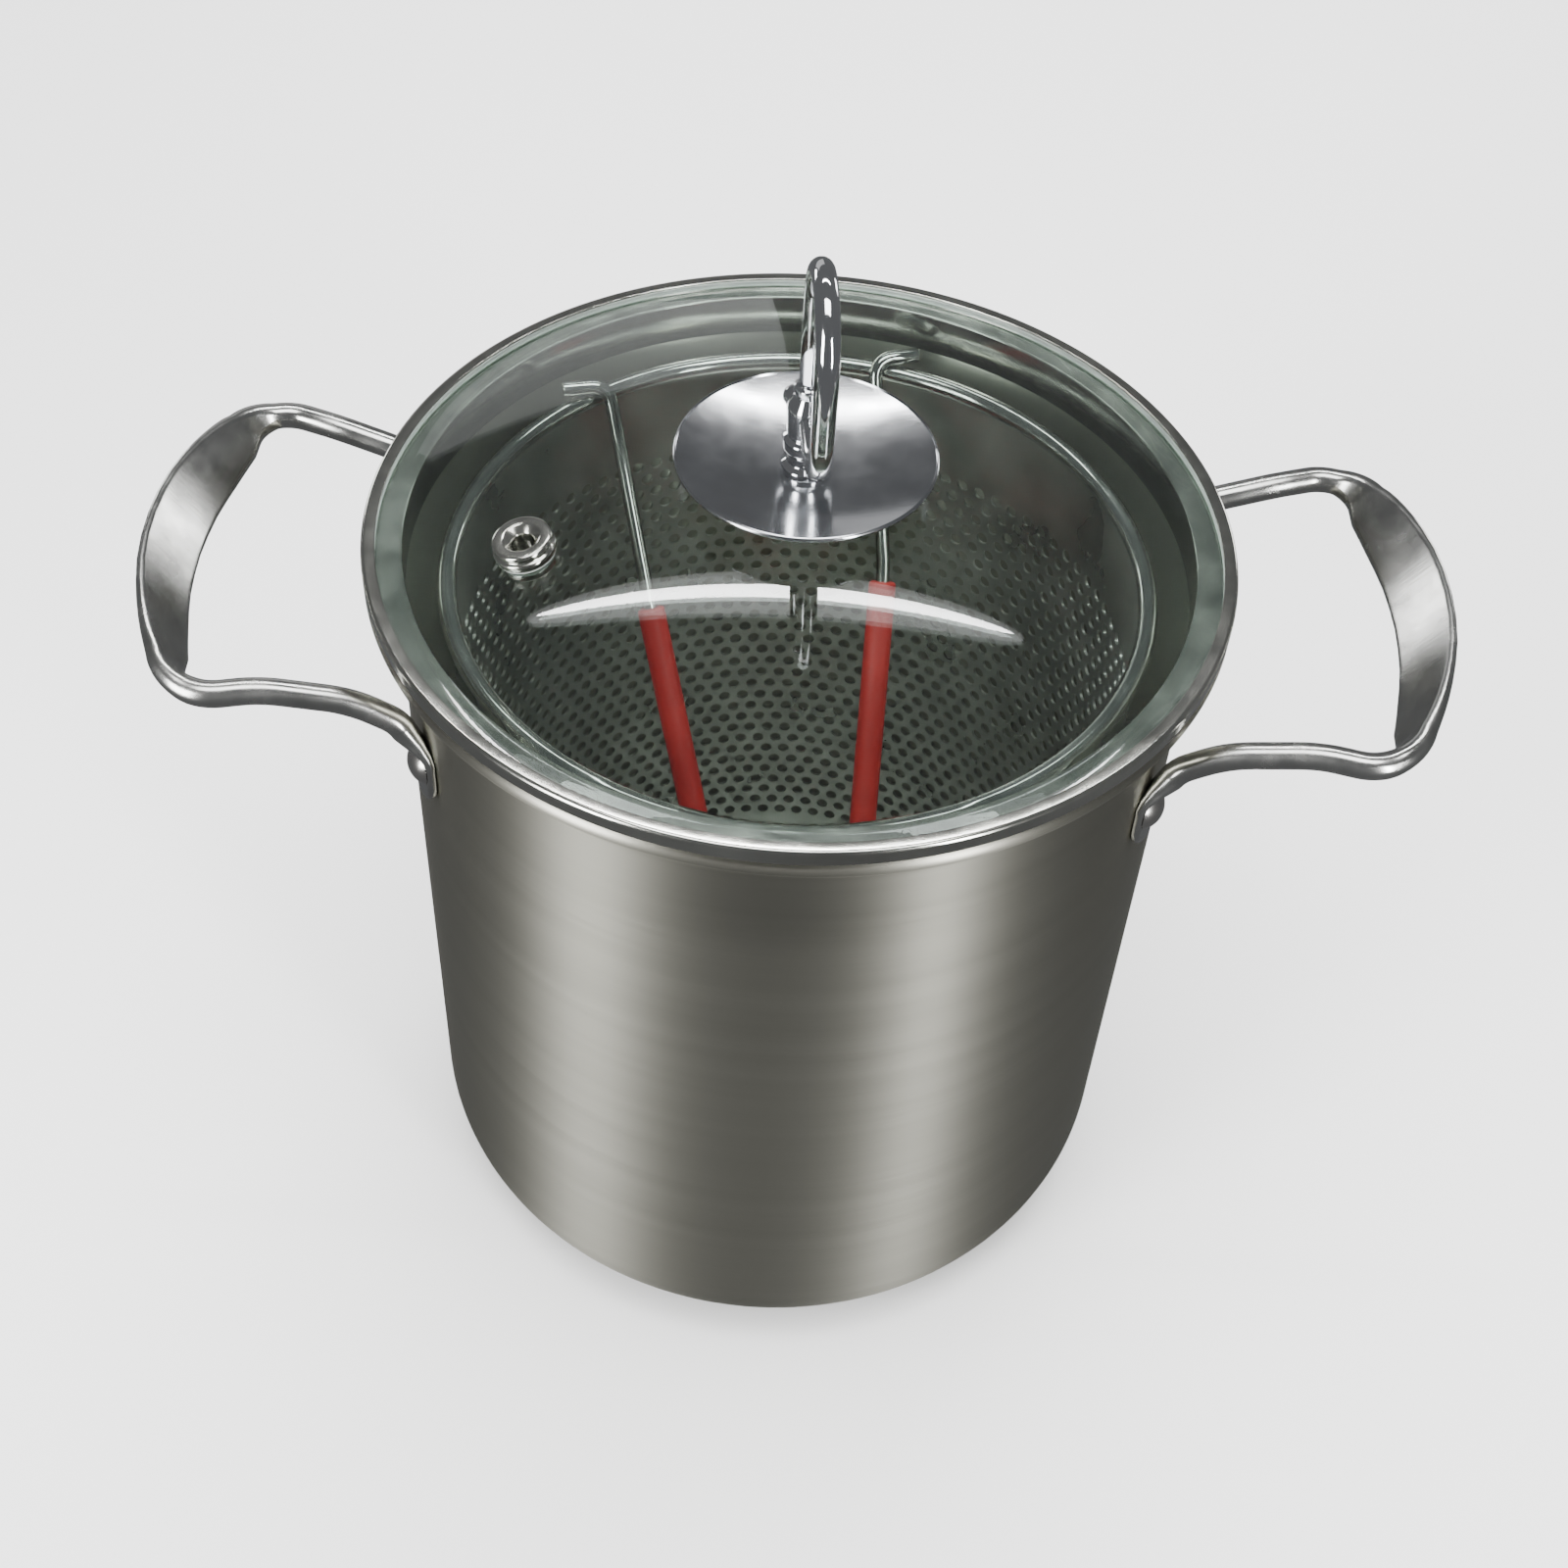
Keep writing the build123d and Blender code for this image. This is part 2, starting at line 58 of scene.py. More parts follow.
# ---- sizes that are read from the frame --------------------------------------------------------
POT_HIGH = node_box("pot_shell")[1]
POT_TOP, BEAD_OUT = POT_HIGH.z, POT_HIGH.x
CAP_HIGH = node_box("base_cap")[1]
CAP_R, CAP_TOP = CAP_HIGH.x, CAP_HIGH.z
WALL_LOW, WALL_HIGH = node_box("basket_wall")
BASKET_R, WALL_Z0 = WALL_HIGH.x, WALL_LOW.z
FLOOR_LOW, FLOOR_HIGH = node_box("basket_floor")
RIM_LOW, RIM_HIGH = node_box("basket_rim")
RIM_MINOR = (RIM_HIGH.z - RIM_LOW.z) / 2
RIM_MAJOR = RIM_HIGH.x - RIM_MINOR
RIM_Z = RIM_HIGH.z - RIM_MINOR
LID_LOW, LID_HIGH = node_box("lid_ring")
LID_R, LID_TOP, SKIRT_Z = LID_HIGH.x, LID_HIGH.z, LID_LOW.z
GLASS_HIGH = node_box("lid_glass")[1]
GLASS_R, DOME_APEX = GLASS_HIGH.x, GLASS_HIGH.z
DISC_HIGH = node_box("knob_disc")[1]
STEM_LOW, STEM_HIGH = node_box("knob_stem")


# ---- mesh helpers ------------------------------------------------------------------------------
def make_object(name, shape, material, body, node, sharp=50, merge=False):
    """Mesh piece from (vertices in mm, faces), in place of a CAD node. Edges over sharp degrees stay crisp."""
    verts, faces = shape
    mesh = bpy.data.meshes.new(name)
    mesh.from_pydata([tuple(c * MM for c in v) for v in verts], [], faces)
    bm = bmesh.new()
    bm.from_mesh(mesh)
    if merge:
        bmesh.ops.remove_doubles(bm, verts=bm.verts, dist=MM / 1000)
    bmesh.ops.recalc_face_normals(bm, faces=bm.faces)
    bm.to_mesh(mesh)
    bm.free()
    mesh.polygons.foreach_set("use_smooth", [True] * len(mesh.polygons))
    mesh.set_sharp_from_angle(angle=radians(sharp))
    piece = bpy.data.objects.new(name, mesh)
    bpy.context.scene.collection.objects.link(piece)
    mesh.materials.append(material)
    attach(piece, body)
    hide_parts(node)


def dress(node, material):
    """Gives a CAD node that stays visible its material."""
    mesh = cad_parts[node].data
    mesh.materials.clear()
    mesh.materials.append(material)


def joined(*shapes):
    """One (vertices, faces) shape from several."""
    verts, faces = [], []
    for some_verts, some_faces in shapes:
        faces += [tuple(index + len(verts) for index in face) for face in some_faces]
        verts += some_verts
    return verts, faces


def band(one, two):
    """Faces between two closed rings of vertex numbers."""
    return [(a, b, d, c) for a, b, c, d in zip(one, one[1:] + one[:1], two, two[1:] + two[:1])]


def circle(radius, sides, centre=(0, 0)):
    """Points round a circle."""
    turns = [2 * pi * k / sides for k in range(sides)]
    return [(centre[0] + radius * cos(turn), centre[1] + radius * sin(turn)) for turn in turns]


def arc(centre, radius, start, end, steps=10):
    """Points of an arc in the (r, z) plane. Angles in degrees, 0 outwards and 90 up."""
    turns = [radians(start + (end - start) * i / steps) for i in range(steps + 1)]
    return [(centre[0] + radius * cos(turn), centre[1] + radius * sin(turn)) for turn in turns]


def rounded(corners):
    """Closed outline with rounded corners, from (r, z, radius) corners."""
    out = []
    for i, (r, z, radius) in enumerate(corners):
        if radius <= 0:
            out.append((r, z))
            continue
        here = Vector((r, z))
        before = (Vector(corners[i - 1][:2]) - here).normalized()
        after = (Vector(corners[(i + 1) % len(corners)][:2]) - here).normalized()
        half = before.angle(after) / 2
        reach = radius / tan(half)
        centre = here + (before + after).normalized() * (radius / sin(half))
        first, last = here + before * reach - centre, here + after * reach - centre
        start = atan2(first.y, first.x)
        turn = (atan2(last.y, last.x) - start + pi) % (2 * pi) - pi
        steps = max(2, ceil(abs(degrees(turn)) / 12))
        out += arc(centre, radius, degrees(start), degrees(start + turn), steps)
    return out


def lathe_shape(outline, segments=192, place=None):
    """A closed (r, z) outline turned about Z and moved by a matrix."""
    verts, faces, rings = [], [], []
    for r, z in outline:
        if r < 1e-4:
            rings.append([len(verts)] * segments)
            verts.append((0.0, 0.0, z))
        else:
            rings.append(list(range(len(verts), len(verts) + segments)))
            verts += [(x, y, z) for x, y in circle(r, segments)]
    for ring, after in zip(rings, rings[1:] + rings[:1]):
        corners = [tuple(dict.fromkeys(face)) for face in band(ring, after)]
        faces += [face for face in corners if len(face) > 2]
    if place is not None:
        verts = [place @ Vector(v) for v in verts]
    return verts, faces


def smooth_path(points, radii, step=1.2):
    """Points along straight runs joined by arcs; radii has one value for each inner point."""
    points = [Vector(p) for p in points]
    out = [points[0]]
    for before, here, after, radius in zip(points, points[1:], points[2:], radii):
        a, b = (before - here).normalized(), (after - here).normalized()
        half = a.angle(b) / 2
        reach = radius / tan(half)
        centre = here + (a + b).normalized() * (radius / sin(half))
        first, last = here + a * reach - centre, here + b * reach - centre
        turn = first.angle(last)
        steps = max(3, ceil(turn * radius / step))
        out += [centre + (first * sin(turn * (1 - k / steps)) + last * sin(turn * k / steps)) / sin(turn)
                for k in range(steps + 1)]
    out.append(points[-1])
    return out


def along_path(path, i):
    """Direction of a path at one of its points."""
    return (path[min(i + 1, len(path) - 1)] - path[max(i - 1, 0)]).normalized()


def tube_shape(path, radius, sides=24, bore=0.0, round_end=0.35):
    """A rod along a path, with softened ends, or a tube with a bore."""
    tangents = [along_path(path, i) for i in range(len(path))]
    normal = tangents[0].orthogonal().normalized()
    stations = []
    for point, tangent in zip(path, tangents):
        normal = (normal - tangent * normal.dot(tangent)).normalized()
        stations.append((point, normal.copy(), tangent.cross(normal)))
    verts, faces, rings = [], [], []

    def ring(point, n, b, r):
        verts.extend(point + n * x + b * y for x, y in circle(r, sides))
        rings.append(list(range(len(verts) - sides, len(verts))))

    soft = [(0.0, radius - round_end), (round_end * 0.3, radius - round_end * 0.3), (round_end, radius)]
    for depth, r in soft:
        ring(path[0] + tangents[0] * depth, *stations[0][1:], r)
    for station in stations[1:-1]:
        ring(*station, radius)
    for depth, r in reversed(soft):
        ring(path[-1] - tangents[-1] * depth, *stations[-1][1:], r)
    if bore:
        for station in reversed(stations):
            ring(*station, bore)
        rings.append(rings[0])
    else:
        faces += [tuple(reversed(rings[0])), tuple(rings[-1])]
    for one, two in zip(rings, rings[1:]):
        faces += band(one, two)
    return verts, faces


def facing(point, x_axis, z_axis):
    """Matrix that stands a turned piece on a point, with its axis along z_axis."""
    axes = Matrix((x_axis, z_axis.cross(x_axis), z_axis)).transposed()
    return Matrix.Translation(point) @ axes.to_4x4()


# ---- materials ---------------------------------------------------------------------------------
class Nodes:
    """Small builder for one material's node tree."""

    def __init__(self, name):
        self.material = bpy.data.materials.new(name)
        self.material.use_nodes = True
        self.tree = self.material.node_tree
        self.shader = self.tree.nodes["Principled BSDF"]
        self.coords = self.add("ShaderNodeTexCoord").outputs["Object"]

    def put(self, socket, value):
        if isinstance(value, bpy.types.NodeSocket):
            self.tree.links.new(value, socket)
        else:
            socket.default_value = value

    def add(self, kind, inputs=None, **settings):
        node = self.tree.nodes.new(kind)
        for key, value in settings.items():
            setattr(node, key, value)
        for key, value in (inputs or {}).items():
            self.put(node.inputs[key], value)
        return node

    def math(self, operation, one, two):
        return self.add("ShaderNodeMath", {0: one, 1: two}, operation=operation).outputs[0]

    def scaled(self, scale, turn=(0, 0, 0)):
        inputs = {"Vector": self.coords, "Scale": scale, "Rotation": turn}
        return self.add("ShaderNodeMapping", inputs).outputs[0]

    def noise(self, scale, vector=None, detail=3.0, rough=0.55):
        inputs = {"Vector": vector or self.coords, "Scale": scale, "Detail": detail, "Roughness": rough}
        return self.add("ShaderNodeTexNoise", inputs).outputs["Fac"]

    def span(self, value, low, high):
        """The middle of a noise spread from low to high."""
        inputs = {"Value": value, "From Min": 0.3, "From Max": 0.7, "To Min": low, "To Max": high}
        return self.add("ShaderNodeMapRange", inputs).outputs[0]

    def ramp(self, value, dark, light, start=0.3, end=0.7):
        """A colour that goes from dark to light as a value goes from start to end."""
        node = self.add("ShaderNodeValToRGB", {"Fac": value})
        for element, place, colour in zip(node.color_ramp.elements, (start, end), (dark, light)):
            element.position = place
            element.color = (*colour, 1)
        return node.outputs["Color"]

    def bump(self, height, strength, distance):
        inputs = {"Height": height, "Strength": strength, "Distance": distance}
        return self.add("ShaderNodeBump", inputs).outputs["Normal"]

    def set(self, **values):
        for key, value in values.items():
            self.put(self.shader.inputs[key.replace("_", " ")], value)
        return self.material


def polished(name, light, dark, rough=(0.05, 0.14), wear=0.25):
    """Bright steel or chrome: faint cloudy smears, hairline scratches and dust of use."""
    n = Nodes(name)
    clouds = n.noise(38, detail=5)
    hairs = n.noise(220, n.scaled((1, 6, 0.4), (0.5, 0.3, 0.2)), detail=4)
    roughness = n.span(n.noise(90, detail=4), *rough)
    return n.set(Base_Color=n.ramp(clouds, dark, light), Metallic=1.0, Roughness=roughness,
                 Normal=n.bump(hairs, wear, 0.00003))


def brushed_round(name, light, dark, rough=(0.24, 0.36), lines=1500, strength=0.35):
    """Steel brushed round the Z axis: fine lines in rings, with highlights drawn out up and down."""
    n = Nodes(name)
    fine = n.noise(1.0, n.scaled((9, 9, lines)), detail=4, rough=0.7)
    coarse = n.noise(1.0, n.scaled((4, 4, lines / 7)), detail=3)
    clouds = n.noise(9, n.scaled((1, 1, 0.6)), detail=3)
    grain = n.math("MULTIPLY", n.math("ADD", fine, coarse), 0.5)
    shade = n.math("MULTIPLY", grain, clouds)
    tangent = n.add("ShaderNodeTangent", direction_type="RADIAL", axis="Z").outputs[0]
    return n.set(Base_Color=n.ramp(shade, dark, light, 0.12, 0.40), Metallic=1.0,
                 Roughness=n.span(grain, *rough), Anisotropic=0.85, Anisotropic_Rotation=0.25,
                 Tangent=tangent, Normal=n.bump(grain, strength, 0.00006))


def sheet_steel(name, light, dark, rough=(0.2, 0.32)):
    """Satin rolled sheet, with a faint mottle and grain up and down."""
    n = Nodes(name)
    grain = n.noise(1.0, n.scaled((900, 900, 40)), detail=3)
    mottle = n.noise(45, detail=4)
    return n.set(Base_Color=n.ramp(mottle, dark, light), Metallic=1.0, Roughness=n.span(mottle, *rough),
                 Normal=n.bump(grain, 0.2, 0.00004))


def vinyl(name):
    """Dipped red vinyl: soft sheen, faint orange-peel and slight fading."""
    n = Nodes(name)
    fade = n.noise(30, detail=4)
    peel = n.noise(900, detail=2)
    return n.set(Base_Color=n.ramp(fade, (0.17, 0.006, 0.006), (0.27, 0.012, 0.010)),
                 Roughness=n.span(fade, 0.32, 0.46), Specular_IOR_Level=0.45,
                 Normal=n.bump(peel, 0.25, 0.00008))


def silicone(name):
    """Milky grey seal rubber, matt."""
    n = Nodes(name)
    mottle = n.noise(120, detail=3)
    return n.set(Base_Color=n.ramp(mottle, (0.30, 0.32, 0.31), (0.42, 0.44, 0.42)),
                 Roughness=n.span(mottle, 0.45, 0.6), Normal=n.bump(mottle, 0.15, 0.00005))


def tempered_glass(name):
    """Clear tempered glass with a green-grey cast. Lamps shine through it, so the basket below is lit."""
    n = Nodes(name)
    waves = n.noise(16, detail=2)
    n.set(Base_Color=(0.83, 0.91, 0.88, 1), Roughness=n.span(waves, 0.0, 0.02), IOR=1.5,
          Transmission_Weight=1.0, Normal=n.bump(waves, 0.01, 0.0004))
    clear = n.add("ShaderNodeBsdfTransparent", {"Color": (0.88, 0.93, 0.905, 1)}).outputs[0]
    lamp = n.add("ShaderNodeLightPath").outputs["Is Shadow Ray"]
    mixed = n.add("ShaderNodeMixShader", {0: lamp, 1: n.shader.outputs[0], 2: clear}).outputs[0]
    n.put(n.tree.nodes["Material Output"].inputs["Surface"], mixed)
    return n.material


def white_floor(name):
    n = Nodes(name)
    speck = n.noise(5, detail=2)
    return n.set(Base_Color=n.ramp(speck, (0.88, 0.88, 0.88), (0.92, 0.92, 0.92), 0.0, 1.0), Roughness=0.7)


POT_STEEL = brushed_round("pot_brushed_steel", (0.445, 0.437, 0.380), (0.405, 0.397, 0.342),
                          rough=(0.385, 0.415), strength=0.06)
BASE_STEEL = brushed_round("base_spun_steel", (0.55, 0.54, 0.50), (0.42, 0.40, 0.37), lines=600)
ALUMINIUM = sheet_steel("core_aluminium", (0.72, 0.72, 0.72), (0.60, 0.60, 0.61))
BRIGHT = polished("bright_steel", (0.72, 0.71, 0.68), (0.56, 0.55, 0.52))
HANDLE_STEEL = polished("handle_satin_steel", (0.62, 0.62, 0.60), (0.46, 0.46, 0.44), rough=(0.16, 0.30),
                        wear=0.4)
RIVET = polished("rivet_steel", (0.66, 0.64, 0.61), (0.50, 0.49, 0.47), rough=(0.16, 0.28))
RING_STEEL = polished("lid_ring_steel", (0.66, 0.66, 0.61), (0.48, 0.48, 0.44), rough=(0.10, 0.20))
DISC_CHROME = polished("knob_disc_chrome", (0.60, 0.61, 0.63), (0.50, 0.51, 0.53), rough=(0.12, 0.20),
                       wear=0.2)
CHROME = polished("knob_chrome", (0.80, 0.81, 0.82), (0.68, 0.69, 0.71), rough=(0.03, 0.09), wear=0.15)
BASKET_STEEL = sheet_steel("basket_sheet_steel", (0.62, 0.62, 0.59), (0.50, 0.50, 0.47), rough=(0.26, 0.38))
VINYL = vinyl("red_vinyl")
SILICONE = silicone("clear_silicone")
GLASS = tempered_glass("tempered_glass")


# ---- pot ---------------------------------------------------------------------------------------
POT_R, POT_WALL, POT_CORNER = 101.5, 1.0, 24.0
FLARE_Z = 212.0                    # where the wall begins to lean out
BEAD_MINOR = 2.4
BEAD_LAP, BEAD_DROP = 0.7, 1.6     # how far the flare runs into the bead, and ends below its middle
CAP_T, CAP_CORNER, CAP_EDGE = 0.6, 2.0, 0.2


def pot_outline():
    """Wall, flared mouth with its rolled bead, and the bottom's rounded corner."""
    bead = (BEAD_OUT - BEAD_MINOR, POT_TOP - BEAD_MINOR)
    flare_out = bead[0] - BEAD_MINOR + BEAD_LAP - POT_R
    rise = bead[1] - BEAD_DROP - FLARE_Z
    bend = (rise ** 2 + flare_out ** 2) / (2 * flare_out)
    sweep = degrees(asin(rise / bend))
    inner = POT_R - POT_WALL
    corner = (POT_R - POT_CORNER, CAP_TOP + POT_CORNER)
    wall_up = [(POT_R, corner[1] + (FLARE_Z - corner[1]) * k / 12) for k in range(1, 12)]
    outer = [(0, CAP_TOP)] + arc(corner, POT_CORNER, -90, 0, 18) + wall_up
    outer += arc((POT_R + bend, FLARE_Z), bend, 180, 180 - sweep, 8)
    curl = arc(bead, BEAD_MINOR, 215, -120, 26)
    inside = arc((inner + bend, FLARE_Z), bend, 180 - sweep, 180, 8)
    low = arc(corner, POT_CORNER - POT_WALL, 0, -90, 18) + [(0, CAP_TOP + POT_WALL)]
    return outer + curl + inside + low


def make_pot():
    make_object("pot_body", lathe_shape(pot_outline(), 256), POT_STEEL, "pot", "pot_shell")
    cap = rounded([(0, 0, 0), (CAP_R, 0, CAP_CORNER), (CAP_R, CAP_TOP, CAP_EDGE),
                   (CAP_R - CAP_T, CAP_TOP, CAP_EDGE), (CAP_R - CAP_T, CAP_T, 0), (0, CAP_T, 0)])
    make_object("base_cap_spun", lathe_shape(cap), BASE_STEEL, "pot", "base_cap", sharp=35)
    dress("base_core", ALUMINIUM)


# ---- side handles ------------------------------------------------------------------------------
FOOT_Y, FOOT_LOW, FOOT_T, FOOT_W, FOOT_GAP = 48.0, 176.0, 2.4, 12.5, 0.05
FOOT_STEPS = (0.12, 0.5, 1.3, 2.6, 4.2, 6.2, 9.0, 12.5, 14.5)
FOOT_TOP = FOOT_LOW + 15.0
# Where the foot turns to rod: height over the foot's low end, width, thickness
NECK_KEYS = [(16.6, 10.4, 3.1), (18.2, 8.2, 4.4)]
ROD_R = 3.35
ROD_POINTS = [(93.6, 48.0, 195.0), (95.9, 47.7, 200.0), (107, 47.6, 206.2), (128, 50.8, 211.4),
              (149.2, 57.0, 212.4), (152.4, 40.8, 212.9)]
ROD_BENDS = [9, 40, 45, 12]
ROD_LEAN, GRIP_LEAN = Vector((0, 0.70, 0.71)), Vector((0.59, 0, 0.81))
ROD_TURNED, ROD_FLATTENS = 0.4, 0.74    # shares of the rod where its twist and its flattening begin
FLAT_WIDER, FLAT_THINNER = 0.95, 0.36
# Grip: distance from the middle, centre x and z, width, thickness
GRIP_KEYS = [(41.0, 152.5, 212.95, 13.7, 4.1), (38.0, 153.5, 213.1, 14.6, 3.8),
             (34.0, 154.7, 213.3, 15.5, 3.4), (29.0, 156.0, 213.6, 16.4, 3.0),
             (23.0, 157.4, 213.85, 17.0, 2.7), (16.0, 158.7, 214.1, 17.5, 2.5),
             (8.0, 159.5, 214.25, 17.8, 2.4), (0.0, 159.8, 214.3, 17.8, 2.4)]
WALL_OUT = Vector((sqrt(POT_R ** 2 - FOOT_Y ** 2), FOOT_Y, 0)) / POT_R
WALL_ALONG = Vector((-WALL_OUT.y, WALL_OUT.x, 0))
RIVET_Z, RIVET_R, RIVET_H, SHANK_R = 187.0, 5.6, 2.8, 2.4
TAIL_R, TAIL_H, TAIL_EDGE = 4.6, 0.9, 0.4
HEAD_GAP, TAIL_GAP = 0.02, 0.1


def half_handle():
    """Stations of the right handle from its back foot to the middle of its grip.

    Each is the centre, the width, the thickness and a direction that the width leans to.
    """
    stations = []
    end_r = FOOT_W / 2
    for height in FOOT_STEPS:
        width = 2 * sqrt(end_r ** 2 - max(0.0, end_r - height) ** 2)
        centre = WALL_OUT * (POT_R + FOOT_GAP + FOOT_T / 2) + UP * (FOOT_LOW + height)
        stations.append((centre, width, min(FOOT_T, width), WALL_ALONG))
    for height, width, thick in NECK_KEYS:
        centre = WALL_OUT * (POT_R + 2 * FOOT_GAP + thick / 2) + UP * (FOOT_LOW + height)
        stations.append((centre, width, thick, WALL_ALONG))
    rod = smooth_path(ROD_POINTS, ROD_BENDS, step=1.5)
    for i, point in enumerate(rod[1:-1]):
        share = (i + 1) / len(rod)
        if share < ROD_TURNED:
            lean = WALL_ALONG.lerp(ROD_LEAN, share / ROD_TURNED)
        else:
            lean = ROD_LEAN.lerp(GRIP_LEAN, (share - ROD_TURNED) / (1 - ROD_TURNED))
        flatten = max(0.0, (share - ROD_FLATTENS) / (1 - ROD_FLATTENS))
        width, thick = 2 * ROD_R * (1 + FLAT_WIDER * flatten), 2 * ROD_R * (1 - FLAT_THINNER * flatten)
        stations.append((point, width, thick, lean))
    for y, x, z, width, thick in GRIP_KEYS:
        stations.append((Vector((x, y, z)), width, thick, GRIP_LEAN))
    return stations


def strap_section(width, thick):
    """Flat-sided section with half-round edges."""
    edge_r = thick / 2
    flat = max((width - thick) / 2, 0.12)
    side = [(flat + x, y) for x, y in arc((0, 0), edge_r, -90, 90, 12)]
    side += [(flat * share, edge_r) for share in (0.92, 0.0, -0.92)]
    return side + [(-a, -b) for a, b in side]


def handle_shape(side):
    """Strap and rod of one handle as a single skin, swept from foot to foot."""
    half = half_handle()
    flip = Matrix.Diagonal((1, -1, 1))
    stations = half + [(flip @ c, w, t, flip @ lean) for c, w, t, lean in reversed(half[:-1])]
    centres = [station[0] for station in stations]
    verts, faces, rings = [], [], []
    for i, (centre, width, thick, lean) in enumerate(stations):
        run = along_path(centres, i)
        across = (lean - run * lean.dot(run)).normalized()
        out = run.cross(across)
        wall_out = Vector((WALL_OUT.x, copysign(WALL_OUT.y, centre.y), 0))
        section = strap_section(width, thick)
        for a, b in section:
            point = centre + across * a + out * b
            if centre.z < FOOT_TOP:
                point -= wall_out * (a * a / (2 * POT_R))
            verts.append((side * point.x, point.y, point.z))
        rings.append(list(range(len(verts) - len(section), len(verts))))
    for one, two in zip(rings, rings[1:]):
        faces += band(one, two)
    return verts, faces + [tuple(rings[0]), tuple(rings[-1])]


def rivet_shape(side):
    """Domed heads and flat inner tails of one handle's two rivets."""
    ball = (RIVET_R ** 2 + RIVET_H ** 2) / (2 * RIVET_H)
    reach = degrees(asin(RIVET_R / ball))
    top, seat, back = FOOT_T + RIVET_H, FOOT_T + HEAD_GAP, -POT_WALL - TAIL_GAP
    dome = arc((0, top - ball), ball, 90, 90 - reach, 10)
    tail = rounded([(SHANK_R, seat, 0), (SHANK_R, back, 0), (TAIL_R, back, 0),
                    (TAIL_R, back - TAIL_H, TAIL_EDGE), (0, back - TAIL_H, 0)])
    outline = [(0, top)] + dome[1:] + [(RIVET_R, seat)] + tail
    outs = [Vector((side * WALL_OUT.x, end * WALL_OUT.y, 0)) for end in (-1, 1)]
    places = [facing(out * POT_R + UP * RIVET_Z, UP.cross(out), out) for out in outs]
    return joined(*(lathe_shape(outline, 40, place) for place in places))


def make_handles():
    for name, side in (("left", -1), ("right", 1)):
        make_object(f"{name}_handle_strap", handle_shape(side), HANDLE_STEEL, "pot", f"{name}_handle")
        make_object(f"{name}_rivet_heads", rivet_shape(side), RIVET, "pot", f"{name}_rivets")


# ---- basket ------------------------------------------------------------------------------------
SHEET = 0.8
SKINS = (BASKET_R, BASKET_R - SHEET)
HOLE_R, HOLE_PITCH, HOLE_SIDES = 1.85, 5.85, 12
PERF_LOW, PERF_ROWS = 24.5, 32
COLLAR_TOP = RIM_Z - 1.0
FLOOR_BEND, FLOOR_SIDES = 10.0, 192
FLOOR_EDGE = 0.8                   # least metal between a hole and the floor's bend
# The wire handle's frame, which also places the two holes for its hooks
HANDLE_TURN = radians(14.8)
ACROSS = Vector((cos(HANDLE_TURN), sin(HANDLE_TURN), 0))
BACK = Vector((-sin(HANDLE_TURN), cos(HANDLE_TURN), 0))
HOOK_HALF, HOOK_HOLE_R, HOOK_HOLE_Z, HOOK_HOLE_SIDES = 37.5, 2.6, 201.0, 20


def brick_edge(width, height):
    """Twelve points round a rectangle, in step with the twelve of its hole."""
    w, h = width / 2, height / 2
    return [(w, 0), (w, h), (w / 2, h), (0, h), (-w / 2, h), (-w, h),
            (-w, 0), (-w, -h), (-w / 2, -h), (0, -h), (w / 2, -h), (w, -h)]


def perforated_wall():
    """Basket wall: plain collar and foot with staggered rows of round holes between."""
    count = round(2 * pi * BASKET_R / HOLE_PITCH)
    width = 2 * pi * BASKET_R / count
    height = width * sqrt(3) / 2
    edge, hole = brick_edge(width, height), circle(HOLE_R, HOLE_SIDES)
    verts, faces, index = [], [], {}

    def vertex(u, v, r, shared=True):
        """Number of the vertex that lies u round and v up on a skin. A shared one is made only once."""
        key = (round(u / width * 4) % (count * 4), round(v * 50), round(r * 10))
        if shared and key in index:
            return index[key]
        verts.append((r * cos(u / BASKET_R), r * sin(u / BASKET_R), v))
        if shared:
            index[key] = len(verts) - 1
        return len(verts) - 1

    for row in range(PERF_ROWS):
        v = PERF_LOW + (row + 0.5) * height
        for k in range(count):
            u = k * width + width / 2 * (row % 2)
            loops = []
            for r in SKINS:
                outer = [vertex(u + x, v + y, r) for x, y in edge]
                loops.append([vertex(u + x, v + y, r, shared=False) for x, y in hole])
                faces += band(outer, loops[-1])
            faces += band(*loops)
    columns = [k * width / 4 for k in range(count * 4 + 1)]
    levels = [WALL_Z0, (WALL_Z0 + PERF_LOW) / 2, PERF_LOW]
    for u0, u1 in zip(columns, columns[1:]):
        for r in SKINS:
            faces += [(vertex(u0, low, r), vertex(u1, low, r), vertex(u1, high, r), vertex(u0, high, r))
                      for low, high in zip(levels, levels[1:])]
        faces.append((vertex(u0, WALL_Z0, SKINS[0]), vertex(u1, WALL_Z0, SKINS[0]),
                      vertex(u1, WALL_Z0, SKINS[1]), vertex(u0, WALL_Z0, SKINS[1])))
    return joined((verts, faces), plain_collar(columns, PERF_LOW + PERF_ROWS * height))


def plain_collar(columns, low):
    """Plain band over the rows of holes, with two holes for the wire handle's hooks."""
    grid = [(u, low + (COLLAR_TOP - low) * k / 6) for u in columns for k in range(7)]
    hooks = [ACROSS * (side * HOOK_HALF) - BACK * BASKET_R for side in (-1, 1)]
    holes = [(atan2(hook.y, hook.x) % (2 * pi) * BASKET_R, HOOK_HOLE_Z, HOOK_HOLE_R) for hook in hooks]

    def place(u, v, skin):
        return SKINS[skin] * cos(u / BASKET_R), SKINS[skin] * sin(u / BASKET_R), v

    return cut_sheet(grid, holes, HOOK_HOLE_SIDES, place)


